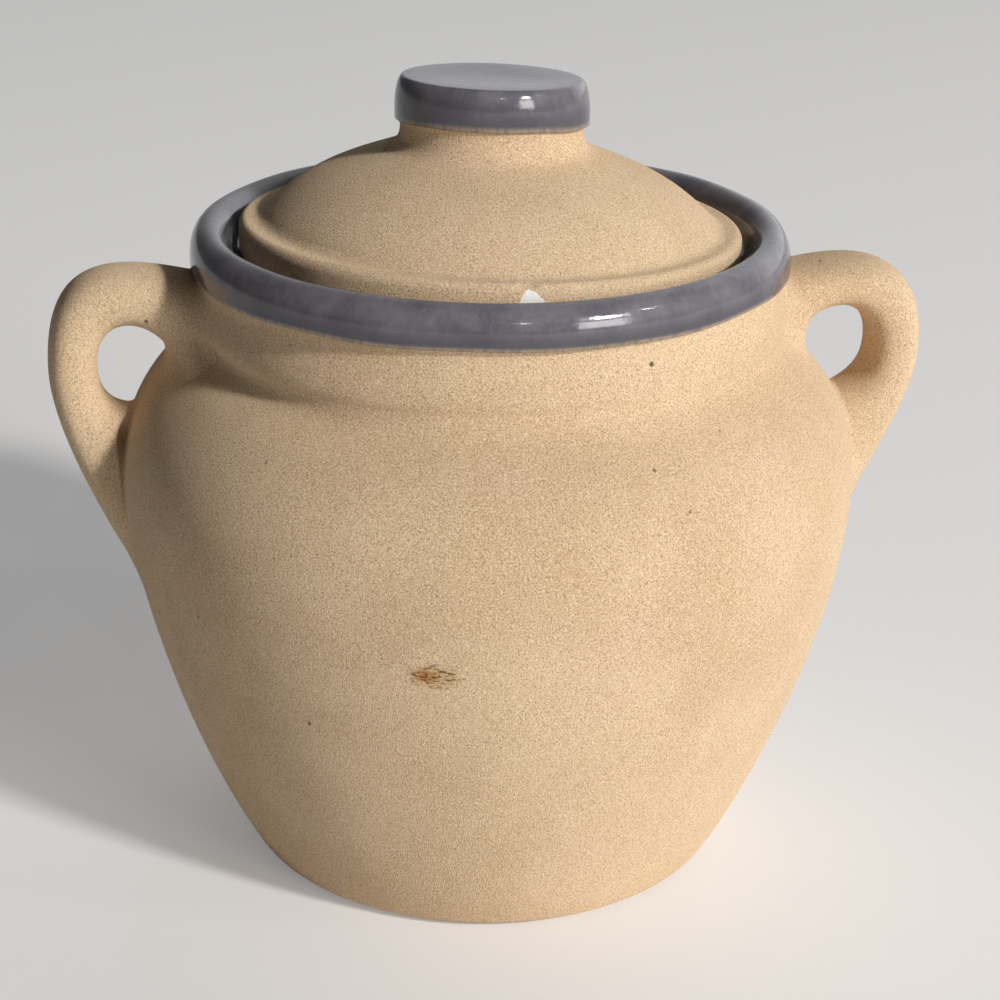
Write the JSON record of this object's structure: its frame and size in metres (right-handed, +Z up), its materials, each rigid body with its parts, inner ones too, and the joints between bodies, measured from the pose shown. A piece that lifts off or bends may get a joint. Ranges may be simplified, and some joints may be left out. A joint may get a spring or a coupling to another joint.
{
  "type": "lidded crock jar",
  "caption": "Squat stoneware crock with two ear handles, a glazed rim and a loose knobbed lid set into it, for keeping and serving dry goods or condiments.",
  "frame": {"origin": "centre of the flat foot, on the surface that the jar stands on", "axes": "+Z up along the jar's axis, +X through the right handle, +Y to the back"},
  "size_m": [0.1306, 0.11, 0.1191],
  "materials": {
    "stoneware": "unglazed, sandy",
    "glaze": "gloss"
  },
  "bodies": {
    "crock": {"crock_body": "stoneware", "left_handle": "stoneware", "right_handle": "stoneware", "rim_glaze": "glaze", "inner_glaze": "glaze"},
    "lid": {"lid": "stoneware", "lid_knob": "stoneware", "knob_glaze": "glaze"}
  },
  "joints": [
    {"name": "lid_lift", "type": "slide", "parent": "crock", "child": "lid", "axis": [0, 0, 1], "range_m": [0, 0.1]}
  ]
}
